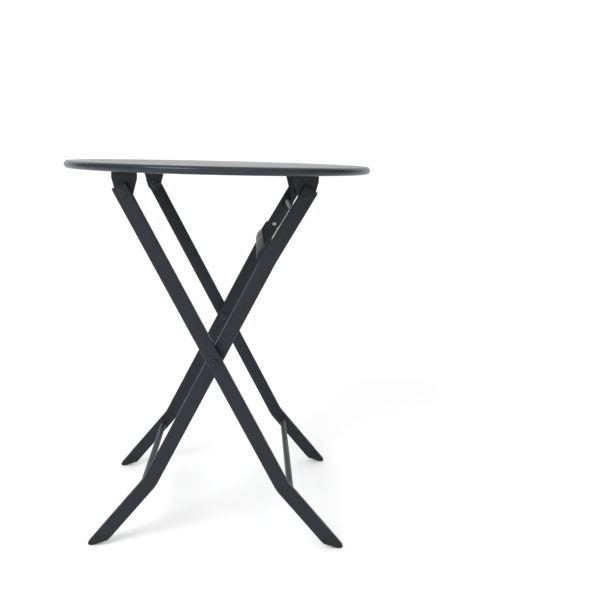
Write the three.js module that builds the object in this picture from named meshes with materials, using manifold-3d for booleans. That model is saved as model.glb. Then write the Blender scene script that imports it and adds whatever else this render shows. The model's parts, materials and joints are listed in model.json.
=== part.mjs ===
// Folding bistro table: a round steel top on two crossed frames of flat tube.
// Millimetres, +Z up. The origin is on the floor, under the middle of the top. X runs across the
// crossed legs, from the hinged side of the top to the latched side, and Y along the crossbars.
// "near" pieces are at -Y and "far" pieces at +Y. The outer frame leans from the hinged side of
// the top to the floor on the latched side; the inner frame crosses it between its legs.

import * as THREE from 'three';
import { mergeVertices } from 'three/addons/utils/BufferGeometryUtils.js';
import Module from 'manifold-3d';

const wasm = await Module();
wasm.setup();

// ---- overall sizes
const tableHeight = 725;
const topDiameter = 595;
const outerWidth = 412;          // over the outer faces of the outer frame
const frameGap = 8;              // between a leg of the outer frame and its inner neighbour

// ---- table top
const sheetThickness = 1.5;
const beadDiameter = 14;         // rolled edge
const beadOpening = 70;          // degrees of the roll that are left open, underneath
const weldGap = 0.3;             // between pieces that are welded or seated on each other

// ---- leg tube
const tubeWidth = 27.5;           // across the leg, in the plane of the fold
const tubeDepth = 13;
const tubeWall = 1.5;
const tubeCorner = 2.5;
const legOverPivot = 17;         // from the top pivot to the end of the leg, plug included

// ---- leg lines
const pivotDrop = 53;            // table surface to the top pivots
const earInset = 21.7;           // between the bead and the nearest corner of an ear
const latchedShift = 3.6;        // how much further out the inner frame's pivot is
const crossHeight = 372;
const bendHeight = 129;
const kinkBelowPivot = 112;
const kinkBow = 4.75;            // of the kink off the line from the crossing to the pivot
const footLean = 39.7;           // degrees from the vertical, below the bend
const bendRadius = 70;
const kinkRadius = 160;

// ---- feet and plugs
const footLength = 30;           // of plastic below the tube, on the leg's centre line
const footInset = 0.5;           // each side, inside the tube's outline
const footFlat = 5;
const footRise = 18;             // degrees, from the flat up to the heel
const footTipRadius = 4;
const stubLength = 18;
const stubOverlap = 2;           // of a stub into the solid part of its foot
const stubClearance = 0.4;
const plugHead = 2.5;
const plugStub = 6.5;

// ---- crossbars
const barDiameter = 13;
const barWall = 1.5;
const barBelowBend = 21;         // height of the bend over the crossbar

// ---- rails and ears under the top
const railWidth = 44;
const railHeight = 15;
const railWall = 2;
const earThickness = 3;
const earClearance = 1.8;        // between an ear and its leg
const earShoulder = 27;          // height of the straight sides' lower end over the pivot
const earEndRadius = 14.5;

// ---- pivots
const pinDiameter = 8;
const pinClearance = 0.3;        // radial, wherever a pin passes through a piece
const headDiameter = 15;
const headHeight = 3;
const headRim = 0.3;             // share of a pin head's height that stands straight, under its dome
const washerDiameter = 18;
const nutAcross = 13;
const nutHeight = 6;
const pinOverNut = 1.2;
const spacerDiameter = 22;

// ---- support pins of the inner frame, and the ear slots that rest on them
const supportHead = 12;
const supportHeadHeight = 2;
const supportReach = 1.5;        // past the ear
const slotClearance = 0.5;       // radial
const slotSlope = 62.9;          // degrees below the horizontal, towards the hinged side
const slotFlare = 12;            // degrees

// ---- lock lever: places along the inner leg, measured up from the rivet, and off its centre line
const rivetBelowPin = 93.5;      // down the leg from the support pin
const rivetDiameter = 6;
const rivetHead = 10;
const rivetHeadHeight = 2.5;
const rivetGrip = 4;             // into the leg tube
const rivetRoom = 1;             // past the rivet's end
const rivetRim = 0.2;            // share of its head's height
const armThickness = 2.5;
const springRoom = 5.2;          // between a lever arm and its leg
const armEndRadius = 13.5;
const rodOverRivet = 58;
const rodDiameter = 12;
const rodTenon = 8;
const tenonReach = 0.6;          // past a lever arm
const gripTop = -25;
const gripBottom = -50;
const gripOffset = 18;           // from the leg's centre line
const gripThickness = 2;
const gripBulge = 3;
const lobeWidth = 6;             // of a lever arm's lobe, at the bottom of the grip
const lobeFoot = 4.5;            // of the lobe's lower edge beyond the leg's centre line
const tabOver = -6;
const springWire = 1.2;
const springTurns = 2;
const springRadius = 5.6;
const springTail = 14;
const springPlay = 0.15;         // between its turns

// ---- catch hooks
const hookThickness = 3;
const hookInset = 8;             // from the ear's inner face
const hookWidth = 7;
const hookClearance = 0.5;       // round the lock rod
const hookWrap = 110;            // degrees of the hook below the rod's middle

// ---- rounding of the faceted curves
const bendStep = 4;              // degrees
const roundSegments = 20;
const topSegments = 60;
const cornerSegments = 2;        // of each rounded corner of a tube
const beadSegments = 12;
const toeSegments = 5;
const gripSegments = 6;
const springSteps = 40;
const springSides = 6;

// ---- finishes
const finish = (color, roughness, metalness) =>
  new THREE.MeshStandardMaterial({ color, roughness, metalness });
const topCoat = finish(0x4a4e56, 0.5, 0.2);
const legCoat = finish(0x3c4147, 0.5, 0.2);
const bracketCoat = finish(0x30323a, 0.55, 0.2);
const blackPlastic = finish(0x26282b, 0.6, 0);
const darkSteel = finish(0x3a3c40, 0.4, 0.8);
const brightSteel = finish(0xb4b6b8, 0.3, 1);

const radians = THREE.MathUtils.degToRad;
const sides = { near: -1, far: 1 };
const table = new THREE.Group();

// ---- solids ----------------------------------------------------------------

// A closed three.js geometry as a solid that can be joined and cut.
function solidOf(geometry) {
  const bare = geometry.clone();
  bare.deleteAttribute('normal');
  bare.deleteAttribute('uv');
  const merged = mergeVertices(bare, 1e-4);
  const corners = merged.index.array;
  const kept = [];
  for (let i = 0; i < corners.length; i += 3) {
    const [a, b, c] = corners.slice(i, i + 3);
    if (a !== b && b !== c && c !== a) kept.push(a, b, c);
  }
  return new wasm.Manifold(new wasm.Mesh({
    numProp: 3,
    vertProperties: new Float32Array(merged.attributes.position.array),
    triVerts: new Uint32Array(kept),
  }));
}

function geometryOf(solid) {
  const { vertProperties, triVerts } = solid.getMesh();
  const geometry = new THREE.BufferGeometry();
  geometry.setAttribute('position', new THREE.BufferAttribute(vertProperties, 3));
  geometry.setIndex(new THREE.BufferAttribute(triVerts, 1));
  geometry.computeVertexNormals();
  return geometry;
}

const join = (...geometries) => geometries.map(solidOf).reduce((whole, more) => whole.add(more));
const cut = (solid, ...geometries) =>
  geometries.map(solidOf).reduce((left, gone) => left.subtract(gone), solid);

function addPiece(name, solid, material) {
  const mesh = new THREE.Mesh(geometryOf(solid), material);
  mesh.name = name;
  table.add(mesh);
}

// A shape drawn in the plane of the fold (x, z), made solid from y = from to y = to.
function slab(shape, from, to) {
  const geometry = new THREE.ExtrudeGeometry(shape, {
    depth: to - from,
    bevelEnabled: false,
    curveSegments: roundSegments / 2,      // three.js gives an arc two steps for each
  });
  return geometry.rotateX(Math.PI / 2).translate(0, to, 0);
}

// The same on one side of the table, between two distances from its middle.
const sideSlab = (shape, side, inner, outer) =>
  side > 0 ? slab(shape, inner, outer) : slab(shape, -outer, -inner);

function circle(centre, radius) {
  return new THREE.Shape().absarc(centre.x, centre.y, radius, 0, 2 * Math.PI);
}

// A round piece along Y, given as [radius, distance from the table's middle] from inside outwards.
function turned(profile, centre, side) {
  const points = profile.map(([radius, distance]) => new THREE.Vector2(radius, distance));
  const geometry = new THREE.LatheGeometry(points, roundSegments);
  if (side < 0) geometry.rotateX(Math.PI);
  return geometry.translate(centre.x, 0, centre.y);
}

// A flat outline with round ends, from one point to another.
function capsule(a, b, radius) {
  const turn = b.clone().sub(a).angle();
  const shape = new THREE.Shape();
  shape.absarc(a.x, a.y, radius, turn + Math.PI / 2, turn + 3 * Math.PI / 2);
  shape.absarc(b.x, b.y, radius, turn - Math.PI / 2, turn + Math.PI / 2);
  return shape;
}

// A tube's section, centred: depth along the shape's x, width along its y.
function roundedBox(path, depth, width, corner) {
  const x = depth / 2 - corner;
  const y = width / 2 - corner;
  path.absarc(x, y, corner, 0, Math.PI / 2);
  path.absarc(-x, y, corner, Math.PI / 2, Math.PI);
  path.absarc(-x, -y, corner, Math.PI, 3 * Math.PI / 2);
  path.absarc(x, -y, corner, 3 * Math.PI / 2, 2 * Math.PI);
  return path;
}

// ---- leg lines: points (x, z) in the plane of the fold ----------------------

// The direction that rises at an angle from the vertical; toward = -1 leans to the hinged side.
const rising = (lean, toward) =>
  new THREE.Vector2(toward * Math.sin(radians(lean)), Math.cos(radians(lean)));
const along = (point, direction, distance) => point.clone().addScaledVector(direction, distance);
// Follows a direction from a point to a height.
const toHeight = (point, direction, height) =>
  along(point, direction, (height - point.y) / direction.y);

const cross = new THREE.Vector2(0, crossHeight);
const pivotHeight = tableHeight - pivotDrop;
const outer = { toward: -1, outside: outerWidth / 2 };
const inner = { toward: 1, outside: outer.outside - tubeDepth - frameGap };
for (const frame of [outer, inner]) frame.inside = frame.outside - tubeDepth;
const leftEar = { outside: outer.inside - earClearance };
const rightEar = { outside: inner.inside - earClearance };
for (const ear of [leftEar, rightEar]) ear.inside = ear.outside - earThickness;

// The ears keep their distance from the bead, and the pivots are in the middle of them.
const earCorner = topDiameter / 2 - beadDiameter - earInset;
const hingeReach = Math.sqrt(earCorner ** 2 - leftEar.outside ** 2) - railWidth / 2;
outer.pivot = new THREE.Vector2(-hingeReach, pivotHeight);
inner.pivot = new THREE.Vector2(hingeReach + latchedShift, pivotHeight);
leftEar.pivot = outer.pivot;
rightEar.pivot = inner.pivot;
outer.kink = cross;
inner.kink = toHeight(cross, inner.pivot.clone().sub(cross), pivotHeight - kinkBelowPivot);
inner.kink.x -= kinkBow;

const frames = { outer, inner };
for (const frame of Object.values(frames)) {
  const lower = frame === inner ? frame.kink : frame.pivot;
  frame.topDirection = frame.pivot.clone().sub(frame.kink).normalize();
  frame.footDirection = rising(footLean, frame.toward);
  frame.bend = toHeight(cross, lower.clone().sub(cross), bendHeight);
  frame.end = along(frame.pivot, frame.topDirection, legOverPivot);
  frame.tubeTop = along(frame.end, frame.topDirection, -plugHead - weldGap);
  frame.floor = toHeight(frame.bend, frame.footDirection, 0);
  frame.tubeFoot = along(frame.floor, frame.footDirection, footLength);
}

// Points and directions down a leg, with an arc of a few steps at every bend.
function legStations(corners) {
  const stations = [];
  const first = corners[0].point;
  stations.push({ point: first, direction: corners[1].point.clone().sub(first).normalize() });
  for (let i = 1; i < corners.length - 1; i += 1) {
    const { point, radius } = corners[i];
    const before = point.clone().sub(corners[i - 1].point).normalize();
    const after = corners[i + 1].point.clone().sub(point).normalize();
    const turn = Math.acos(before.dot(after));
    const across = after.clone().addScaledVector(before, -before.dot(after)).normalize();
    const start = along(point, before, -radius * Math.tan(turn / 2));
    const steps = Math.ceil(turn / radians(bendStep));
    for (let k = 0; k <= steps; k += 1) {
      const angle = turn * k / steps;
      const offset = along(along(start, before, radius * Math.sin(angle)), across,
        radius * (1 - Math.cos(angle)));
      const direction = before.clone().multiplyScalar(Math.cos(angle));
      stations.push({ point: offset, direction: direction.addScaledVector(across, Math.sin(angle)) });
    }
  }
  const last = corners[corners.length - 1].point;
  const lastDirection = last.clone().sub(corners[corners.length - 2].point).normalize();
  stations.push({ point: last, direction: lastDirection });
  return stations;
}

// The stations of a leg as a curve at one distance from the table's middle.
class LegCurve extends THREE.Curve {
  constructor(stations, distance) {
    super();
    this.stations = stations;
    this.distance = distance;
  }

  station(u) {
    return this.stations[Math.round(u * (this.stations.length - 1))];
  }

  getPointAt(u) {
    const { point } = this.station(u);
    return new THREE.Vector3(point.x, this.distance, point.y);
  }

  getTangentAt(u) {
    const { direction } = this.station(u);
    return new THREE.Vector3(direction.x, 0, direction.y);
  }
}

function legTube(frame, side) {
  const corners = [{ point: frame.tubeTop }];
  if (frame === inner) corners.push({ point: frame.kink, radius: kinkRadius });
  corners.push({ point: frame.bend, radius: bendRadius }, { point: frame.tubeFoot });
  const stations = legStations(corners);
  const section = roundedBox(new THREE.Shape(), tubeDepth, tubeWidth, tubeCorner);
  const hollow = roundedBox(new THREE.Path(), tubeDepth - 2 * tubeWall, tubeWidth - 2 * tubeWall,
    tubeCorner - tubeWall);
  section.holes.push(hollow);
  return new THREE.ExtrudeGeometry(section, {
    steps: stations.length - 1,
    curveSegments: cornerSegments / 2,
    extrudePath: new LegCurve(stations, side * (frame.inside + frame.outside) / 2),
  });
}

// A hole through a leg for a pin along Y, from one distance to another.
const pinHole = (centre, diameter, side, from, to) =>
  sideSlab(circle(centre, diameter / 2 + pinClearance), side, from, to);

// ---- pieces of both frames --------------------------------------------------

const clearOf = 1;               // how far a cutter runs past the face that it cuts
const rivet = along(inner.pivot, inner.topDirection, -rivetBelowPin);

function addLegs(name, frame) {
  for (const [place, side] of Object.entries(sides)) {
    const cuts = [frame.pivot, cross].map((centre) =>
      pinHole(centre, pinDiameter, side, frame.inside - clearOf, frame.outside + clearOf));
    if (frame === inner) {
      cuts.push(pinHole(rivet, rivetDiameter, side, frame.inside - clearOf,
        frame.inside + rivetGrip + rivetRoom));
    }
    addPiece(`${name}_leg_${place}`, cut(solidOf(legTube(frame, side)), ...cuts), legCoat);
  }
}

// Places a piece drawn along +Z at a point of a leg, pointing along the leg.
function onLeg(geometry, frame, side, point, direction) {
  return geometry
    .rotateY(Math.atan2(direction.x, direction.y))
    .translate(point.x, side * (frame.inside + frame.outside) / 2, point.y);
}

// A straight block with the section of the tube, smaller all round by an inset.
function tubeBlock(inset, length) {
  const section = roundedBox(new THREE.Shape(), tubeWidth - 2 * inset, tubeDepth - 2 * inset,
    tubeCorner - Math.min(inset, tubeWall));
  return new THREE.ExtrudeGeometry(section, {
    depth: length,
    bevelEnabled: false,
    curveSegments: cornerSegments / 2,
  });
}

function addPlugs(name, frame) {
  for (const [place, side] of Object.entries(sides)) {
    const head = tubeBlock(0, plugHead).translate(0, 0, -plugHead);
    const stub = tubeBlock(tubeWall + stubClearance, plugStub + plugHead)
      .translate(0, 0, -plugHead - plugStub);
    const plug = join(...[head, stub].map((block) =>
      onLeg(block, frame, side, frame.end, frame.topDirection)));
    addPiece(`${name}_plug_${place}`, plug, blackPlastic);
  }
}

// The foot in the plane of the fold: square to the leg at the top, a rounded toe at the outside,
// a small flat that stands on the floor, and a sole that rises to the heel.
function footOutline(frame) {
  const half = tubeWidth / 2 - footInset;
  const down = frame.footDirection.clone().negate();
  const out = new THREE.Vector2(frame.toward * down.y, -frame.toward * down.x);
  const top = along(frame.tubeFoot, down, weldGap);
  const shin = toHeight(along(top, out, half), down, 0);
  const floorward = new THREE.Vector2(-frame.toward, 0);
  const toeAngle = radians(90 - footLean);
  const toeReach = footTipRadius / Math.tan(toeAngle / 2);
  const toeCentre = along(shin, floorward, -toeReach).add(new THREE.Vector2(0, footTipRadius));
  const flatEnd = along(shin, floorward, -toeReach - footFlat);
  const innerTop = along(top, out, -half);
  const sole = floorward.clone().multiplyScalar(-Math.cos(radians(footRise)));
  sole.y = Math.sin(radians(footRise));
  const gap = innerTop.clone().sub(flatEnd);
  const heelReach = gap.cross(down) / sole.cross(down);
  const outline = [along(top, out, half)];
  for (let k = 0; k <= toeSegments; k += 1) {
    const angle = (Math.PI - toeAngle) * (1 - k / toeSegments);
    outline.push(new THREE.Vector2(
      toeCentre.x - frame.toward * footTipRadius * Math.sin(angle),
      toeCentre.y - footTipRadius * Math.cos(angle),
    ));
  }
  outline.push(flatEnd, along(flatEnd, sole, heelReach), innerTop);
  return new THREE.Shape(frame.toward < 0 ? outline.reverse() : outline);
}

function addFeet(name, frame) {
  for (const [place, side] of Object.entries(sides)) {
    const body = sideSlab(footOutline(frame), side, frame.inside + footInset,
      frame.outside - footInset);
    const stub = tubeBlock(tubeWall + stubClearance, stubLength + stubOverlap)
      .translate(0, 0, -stubOverlap);
    const foot = join(body, onLeg(stub, frame, side, frame.tubeFoot, frame.footDirection));
    addPiece(`${name}_foot_${place}`, foot, blackPlastic);
  }
}

function addCrossbar(name, frame) {
  const centre = toHeight(frame.bend, frame.footDirection, bendHeight - barBelowBend);
  const section = circle(centre, barDiameter / 2);
  section.holes.push(circle(centre, barDiameter / 2 - barWall));
  const reach = frame.inside - weldGap;
  addPiece(`${name}_crossbar`, solidOf(slab(section, -reach, reach)), legCoat);
}

for (const [name, frame] of Object.entries(frames)) {
  addLegs(name, frame);
  addPlugs(name, frame);
  addFeet(name, frame);
  addCrossbar(name, frame);
}

// ---- pivots -----------------------------------------------------------------

// A pin with a low domed head: its shank starts at one distance and its head sits outside another.
function headedPin(centre, side, shank, head, height, start, seat) {
  const seatFace = seat + weldGap;
  const dome = [0.25, 0.5, 0.75].map((share) => [
    head / 2 * Math.cos(share * Math.PI / 2),
    seatFace + height * (headRim + (1 - headRim) * Math.sin(share * Math.PI / 2)),
  ]);
  return solidOf(turned([
    [0, start],
    [shank / 2, start],
    [shank / 2, seatFace],
    [head / 2, seatFace],
    [head / 2, seatFace + headRim * height],
    ...dome,
    [0, seatFace + height],
  ], centre, side));
}

function ring(centre, diameter, side, from, to) {
  const shape = circle(centre, diameter / 2);
  shape.holes.push(circle(centre, pinDiameter / 2 + pinClearance));
  return solidOf(sideSlab(shape, side, from, to));
}

function hexNut(centre, side, from, to) {
  const shape = new THREE.Shape();
  const corner = nutAcross / 2 / Math.cos(Math.PI / 6);
  const points = Array.from({ length: 6 }, (_, i) => new THREE.Vector2(
    centre.x + corner * Math.cos(i * Math.PI / 3),
    centre.y + corner * Math.sin(i * Math.PI / 3),
  ));
  shape.setFromPoints(points);
  shape.holes.push(circle(centre, pinDiameter / 2 + pinClearance));
  return solidOf(sideSlab(shape, side, from, to));
}

function addPivot(name, centre, side, place, outsideFace, insideFace) {
  const nutOuter = insideFace - weldGap;
  const start = nutOuter - nutHeight - pinOverNut;
  const bolt = headedPin(centre, side, pinDiameter, headDiameter, headHeight, start, outsideFace);
  addPiece(`${name}_bolt_${place}`, bolt, darkSteel);
  addPiece(`${name}_nut_${place}`, hexNut(centre, side, nutOuter - nutHeight, nutOuter), darkSteel);
}

for (const [place, side] of Object.entries(sides)) {
  addPivot('hinge', outer.pivot, side, place, outer.outside, leftEar.inside);
  const washer = ring(outer.pivot, washerDiameter, side, leftEar.outside + weldGap,
    outer.inside - weldGap);
  addPiece(`hinge_washer_${place}`, washer, blackPlastic);
  addPivot('cross', cross, side, place, outer.outside, inner.inside);
  const spacer = ring(cross, spacerDiameter, side, inner.outside + weldGap, outer.inside - weldGap);
  addPiece(`cross_spacer_${place}`, spacer, blackPlastic);
  const support = headedPin(inner.pivot, side, pinDiameter, supportHead, supportHeadHeight,
    rightEar.inside - supportReach, inner.outside);
  addPiece(`support_pin_${place}`, support, darkSteel);
}

// ---- table top --------------------------------------------------------------

// The sheet and its rolled edge: out along the upper face, round the bead, back along its inside
// and in along the lower face.
function topProfile() {
  const outerRadius = beadDiameter / 2;
  const innerRadius = outerRadius - sheetThickness;
  const centre = new THREE.Vector2(topDiameter / 2 - outerRadius, tableHeight - outerRadius);
  const lower = tableHeight - sheetThickness;
  const rollEnd = -270 + beadOpening;
  const innerSegments = Math.round(beadSegments * innerRadius / outerRadius);
  const arc = (radius, from, to, steps) => Array.from({ length: steps + 1 }, (_, k) => {
    const angle = radians(from + (to - from) * k / steps);
    return new THREE.Vector2(centre.x + radius * Math.cos(angle), centre.y + radius * Math.sin(angle));
  });
  return [
    new THREE.Vector2(0, lower),
    ...arc(innerRadius, 90, rollEnd, innerSegments),
    ...arc(outerRadius, rollEnd, 90, beadSegments),
    new THREE.Vector2(0, tableHeight),
  ];
}

addPiece('table_top',
  solidOf(new THREE.LatheGeometry(topProfile(), topSegments).rotateX(Math.PI / 2)), topCoat);

// ---- rails and ears ---------------------------------------------------------

const railTop = tableHeight - sheetThickness - weldGap;

function addRail(name, ear) {
  const { x } = ear.pivot;
  const half = railWidth / 2;
  const floor = railTop - railHeight;
  const shape = new THREE.Shape([
    new THREE.Vector2(x - half, floor),
    new THREE.Vector2(x - half + railWall, floor),
    new THREE.Vector2(x - half + railWall, railTop - railWall),
    new THREE.Vector2(x + half - railWall, railTop - railWall),
    new THREE.Vector2(x + half - railWall, floor),
    new THREE.Vector2(x + half, floor),
    new THREE.Vector2(x + half, railTop),
    new THREE.Vector2(x - half, railTop),
  ]);
  const reach = ear.inside - weldGap;
  addPiece(name, solidOf(slab(shape, -reach, reach)), bracketCoat);
}

// Straight sides under the rail, then a taper to a round end about the pivot.
function earOutline({ x, y }) {
  const half = railWidth / 2;
  const shoulder = new THREE.Vector2(half, earShoulder);
  const tangent = shoulder.angle() - Math.acos(earEndRadius / shoulder.length());
  const shape = new THREE.Shape();
  shape.moveTo(x + half, railTop);
  shape.lineTo(x - half, railTop);
  shape.lineTo(x - half, y + earShoulder);
  shape.absarc(x, y, earEndRadius, Math.PI - tangent, 2 * Math.PI + tangent);
  shape.lineTo(x + half, y + earShoulder);
  return shape;
}

// The slot that rests on a support pin: its mouth is open along the pin's way out.
function slotCutters(pivot, side, ear) {
  const radius = pinDiameter / 2 + slotClearance;
  const long = 2 * earEndRadius;
  const way = (turn) => {
    const angle = Math.PI + radians(slotSlope - turn);
    return along(pivot, new THREE.Vector2(Math.cos(angle), Math.sin(angle)), long);
  };
  return [0, slotFlare].map((turn) =>
    sideSlab(capsule(pivot, way(turn), radius), side, ear.inside - clearOf, ear.outside + clearOf));
}

addRail('left_rail', leftEar);
addRail('right_rail', rightEar);
for (const [place, side] of Object.entries(sides)) {
  for (const [name, ear] of [['left', leftEar], ['right', rightEar]]) {
    const plate = solidOf(sideSlab(earOutline(ear.pivot), side, ear.inside, ear.outside));
    const opening = name === 'left'
      ? [pinHole(ear.pivot, pinDiameter, side, ear.inside - clearOf, ear.outside + clearOf)]
      : slotCutters(ear.pivot, side, ear);
    addPiece(`${name}_ear_${place}`, cut(plate, ...opening), bracketCoat);
  }
}

// ---- lock lever -------------------------------------------------------------

const up = inner.topDirection;
const off = new THREE.Vector2(-up.y, up.x);    // square to the leg, towards the hinged side
const onInner = (over, aside) => along(along(rivet, up, over), off, aside);
const lockRod = onInner(rodOverRivet, 0);
const arm = { outside: inner.inside - springRoom };
arm.inside = arm.outside - armThickness;

function addArms() {
  const lobe = new THREE.Shape([
    onInner(tabOver, gripOffset),
    onInner(gripBottom, gripOffset),
    onInner(gripBottom, gripOffset - lobeWidth),
    onInner(-armEndRadius, -lobeFoot),
    onInner(0, 0),
  ]);
  for (const [place, side] of Object.entries(sides)) {
    const plate = join(
      sideSlab(capsule(rivet, lockRod, armEndRadius), side, arm.inside, arm.outside),
      sideSlab(lobe, side, arm.inside, arm.outside),
    );
    const holes = [[rivet, rivetDiameter], [lockRod, rodTenon]].map(([centre, diameter]) =>
      pinHole(centre, diameter, side, arm.inside - clearOf, arm.outside + clearOf));
    addPiece(`lever_arm_${place}`, cut(plate, ...holes), bracketCoat);
  }
}

// A strip across the lever, bowed away from the leg.
function addGrip() {
  const bowed = (offset) => Array.from({ length: gripSegments + 1 }, (_, k) => {
    const share = k / gripSegments;
    const over = THREE.MathUtils.lerp(gripTop, gripBottom, share);
    return onInner(over, offset + gripBulge * Math.sin(Math.PI * share));
  });
  const outline = [...bowed(gripOffset), ...bowed(gripOffset - gripThickness).reverse()];
  const reach = arm.inside - weldGap;
  addPiece('lever_grip', solidOf(slab(new THREE.Shape(outline), -reach, reach)), bracketCoat);
}

function addLockRod() {
  const shoulder = arm.inside - weldGap;
  const end = arm.outside + tenonReach;
  const rod = turned([
    [0, -end],
    [rodTenon / 2, -end],
    [rodTenon / 2, -shoulder],
    [rodDiameter / 2, -shoulder],
    [rodDiameter / 2, shoulder],
    [rodTenon / 2, shoulder],
    [rodTenon / 2, end],
    [0, end],
  ], lockRod, 1);
  addPiece('lock_rod', solidOf(rod), legCoat);
}

// A rivet whose head is on the lever's inner side and whose shank ends in the leg tube.
function addRivet(place, side) {
  const head = arm.inside - weldGap;
  const half = rivetHead / 2;
  const profile = [[0, head - rivetHeadHeight]];
  for (const share of [0.3, 0.6, 0.85]) {
    const angle = share * Math.PI / 2;
    const rise = rivetRim + (1 - rivetRim) * Math.cos(angle);
    profile.push([half * Math.sin(angle), head - rivetHeadHeight * rise]);
  }
  profile.push([half, head], [rivetDiameter / 2, head]);
  const end = inner.inside + rivetGrip;
  profile.push([rivetDiameter / 2, end], [0, end]);
  addPiece(`lever_rivet_${place}`, solidOf(turned(profile, rivet, side)), brightSteel);
}

// A torsion spring round the rivet, between the lever arm and the leg, with two straight tails.
class SpringCurve extends THREE.Curve {
  constructor(side) {
    super();
    this.side = side;
    this.middle = side * (arm.outside + inner.inside) / 2;
    this.coil = springTurns * 2 * Math.PI * springRadius;
  }

  getPoint(t) {
    const whole = this.coil + 2 * springTail;
    const run = t * whole - springTail;
    const onCoil = THREE.MathUtils.clamp(run, 0, this.coil);
    const angle = onCoil / springRadius;
    const straight = run - onCoil;
    const pitch = springWire + springPlay;
    const lift = (onCoil / this.coil - 0.5) * pitch * springTurns;
    return new THREE.Vector3(
      rivet.x + springRadius * Math.cos(angle) - straight * Math.sin(angle),
      this.middle + this.side * lift,
      rivet.y + springRadius * Math.sin(angle) + straight * Math.cos(angle),
    );
  }
}

function addSpring(place, side) {
  const spring = new THREE.ExtrudeGeometry(circle(new THREE.Vector2(), springWire / 2), {
    steps: springSteps,
    curveSegments: springSides / 2,
    extrudePath: new SpringCurve(side),
  });
  addPiece(`lever_spring_${place}`, solidOf(spring), brightSteel);
}

// A hook under the right rail: a strap past the lock rod that turns in below it.
function addHook(place, side) {
  const inside = rodDiameter / 2 + hookClearance;
  const outside = inside + hookWidth;
  const wrap = radians(hookWrap);
  const tipRadius = hookWidth / 2;
  const tip = new THREE.Vector2(Math.cos(wrap), -Math.sin(wrap))
    .multiplyScalar(inside + tipRadius).add(lockRod);
  const top = railTop - railWall - weldGap;
  const shape = new THREE.Shape();
  shape.moveTo(lockRod.x + outside, top);
  shape.lineTo(lockRod.x + inside, top);
  shape.absarc(lockRod.x, lockRod.y, inside, 0, -wrap, true);
  shape.absarc(tip.x, tip.y, tipRadius, Math.PI - wrap, 2 * Math.PI - wrap, false);
  shape.absarc(lockRod.x, lockRod.y, outside, -wrap, 0, false);
  const face = rightEar.inside - hookInset;
  const strap = sideSlab(shape, side, face - hookThickness, face);
  addPiece(`catch_hook_${place}`, solidOf(strap), bracketCoat);
}

addArms();
addGrip();
addLockRod();
for (const [place, side] of Object.entries(sides)) {
  addRivet(place, side);
  addSpring(place, side);
  addHook(place, side);
}

export default table;
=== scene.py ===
import json
import math
import bpy
import numpy as np
from mathutils import Matrix, Vector
from mathutils.geometry import tessellate_polygon


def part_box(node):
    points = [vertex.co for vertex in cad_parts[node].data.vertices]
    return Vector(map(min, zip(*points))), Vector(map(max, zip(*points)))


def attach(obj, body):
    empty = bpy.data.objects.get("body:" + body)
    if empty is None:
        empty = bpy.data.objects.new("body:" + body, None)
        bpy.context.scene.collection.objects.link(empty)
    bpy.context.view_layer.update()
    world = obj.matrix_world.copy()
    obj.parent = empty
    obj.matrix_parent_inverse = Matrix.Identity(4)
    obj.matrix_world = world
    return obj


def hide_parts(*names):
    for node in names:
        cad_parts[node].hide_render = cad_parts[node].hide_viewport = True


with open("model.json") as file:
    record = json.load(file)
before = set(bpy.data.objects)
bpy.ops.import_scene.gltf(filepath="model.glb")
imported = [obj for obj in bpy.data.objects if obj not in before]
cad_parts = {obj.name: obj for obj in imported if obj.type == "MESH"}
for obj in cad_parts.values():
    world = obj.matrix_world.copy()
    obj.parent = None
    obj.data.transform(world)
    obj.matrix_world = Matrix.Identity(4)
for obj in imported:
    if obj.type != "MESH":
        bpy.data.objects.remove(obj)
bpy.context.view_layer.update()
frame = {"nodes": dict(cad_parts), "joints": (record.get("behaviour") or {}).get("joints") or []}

mm = 0.001
sides = {"near": -1, "far": 1}
joints = {joint["name"]: joint for joint in frame["joints"]}


def middle(node):
    low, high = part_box(node)
    return np.array((low + high) / 2)


def planePoint(point):    # (x, z) of a point: the plane that the frames fold in
    return np.array([point[0], point[2]])


def unit(vector):
    return vector / np.linalg.norm(vector)


def leftOf(direction):    # square to a direction in the fold plane, a quarter turn anticlockwise
    return np.array([-direction[1], direction[0]])


def meet(pointA, directionA, pointB, directionB):    # where two lines in the fold plane cross
    run = np.linalg.solve(np.array([directionA, -directionB]).T, pointB - pointA)
    return pointA + run[0] * directionA


cross = planePoint(joints["frame_fold"]["pos_m"])
hinge = planePoint(joints["top_tilt"]["pos_m"])
rivet = planePoint(joints["lock_release"]["pos_m"])
support = planePoint(middle("support_pin_far"))
lockRod = planePoint(middle("lock_rod"))
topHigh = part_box("table_top")[1].z
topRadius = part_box("table_top")[1].y


# The line of a leg, from the top plug to the foot, as corner points in the fold plane. The lower
# stretch runs through the crossbar; its lean b solves tan b = (dx - h cos b) / (dz - h sin b), where
# dx, dz reach from the bar to the tube's lowest corner and h is half the tube's width.
def legCorners(name, pivot, kink=None):
    low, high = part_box(f"{name}_leg_far")
    bar = planePoint(middle(f"{name}_crossbar"))
    outward = -np.sign(pivot[0])
    reach = abs((high.x if outward > 0 else low.x) - bar[0])
    drop = bar[1] - low.z
    half = legTube["width"] / 2
    lean = math.radians(legTube["firstLean"])
    for _ in range(legTube["leanSteps"]):
        lean = math.atan2(reach - half * math.cos(lean), drop - half * math.sin(lean))
    down = np.array([outward * math.sin(lean), -math.cos(lean)])
    upper = unit((pivot if kink is None else kink) - cross)
    top = pivot + unit(pivot - (cross if kink is None else kink)) * legTube["overPivot"]
    bend = meet(cross, upper, bar, down)
    end = bar + down * ((drop - half * math.sin(lean)) / math.cos(lean))
    corners = [top] + ([] if kink is None else [kink]) + [bend, end]
    return {"corners": corners, "down": down, "up": unit(corners[0] - corners[1]), "end": end}


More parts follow.
